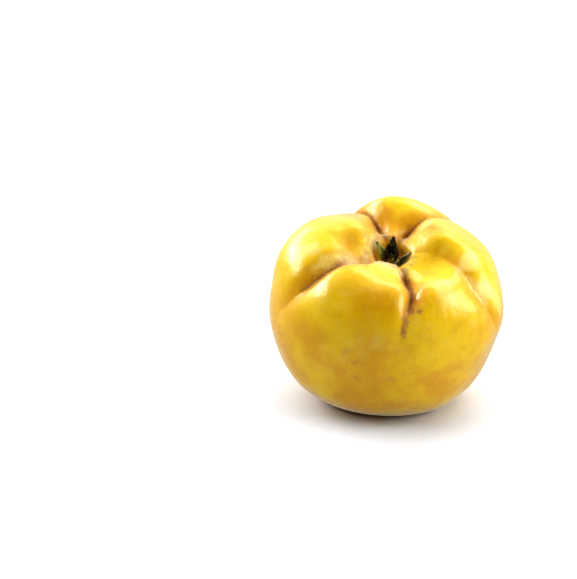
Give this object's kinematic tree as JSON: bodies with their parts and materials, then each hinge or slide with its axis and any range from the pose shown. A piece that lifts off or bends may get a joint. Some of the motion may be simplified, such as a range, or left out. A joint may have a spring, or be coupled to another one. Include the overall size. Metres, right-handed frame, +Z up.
{
  "type": "quince",
  "caption": "Whole ripe apple-shaped quince: lobed waxy yellow fruit with the dried calyx in its crown basin, resting on a small flat ring at its foot.",
  "frame": {"origin": "on the surface that the fruit rests on, under the middle of its bounding box", "axes": "+Z up from the foot; -Y towards the side that the crown and its calyx lean to; +X to the right, seen from there"},
  "size_m": [0.0922, 0.0908, 0.0765],
  "materials": {
    "skin": "ripe waxy fruit skin, golden yellow, satin, with tan down left in the creases",
    "calyx": "dried sepals and stamens, dark olive to near black, matt, slightly fuzzy",
    "stalk": "dry brown woody stalk, matt"
  },
  "bodies": {
    "root": {"quince_body": "skin", "calyx": "calyx", "stalk_stub": "stalk"}
  },
  "joints": []
}
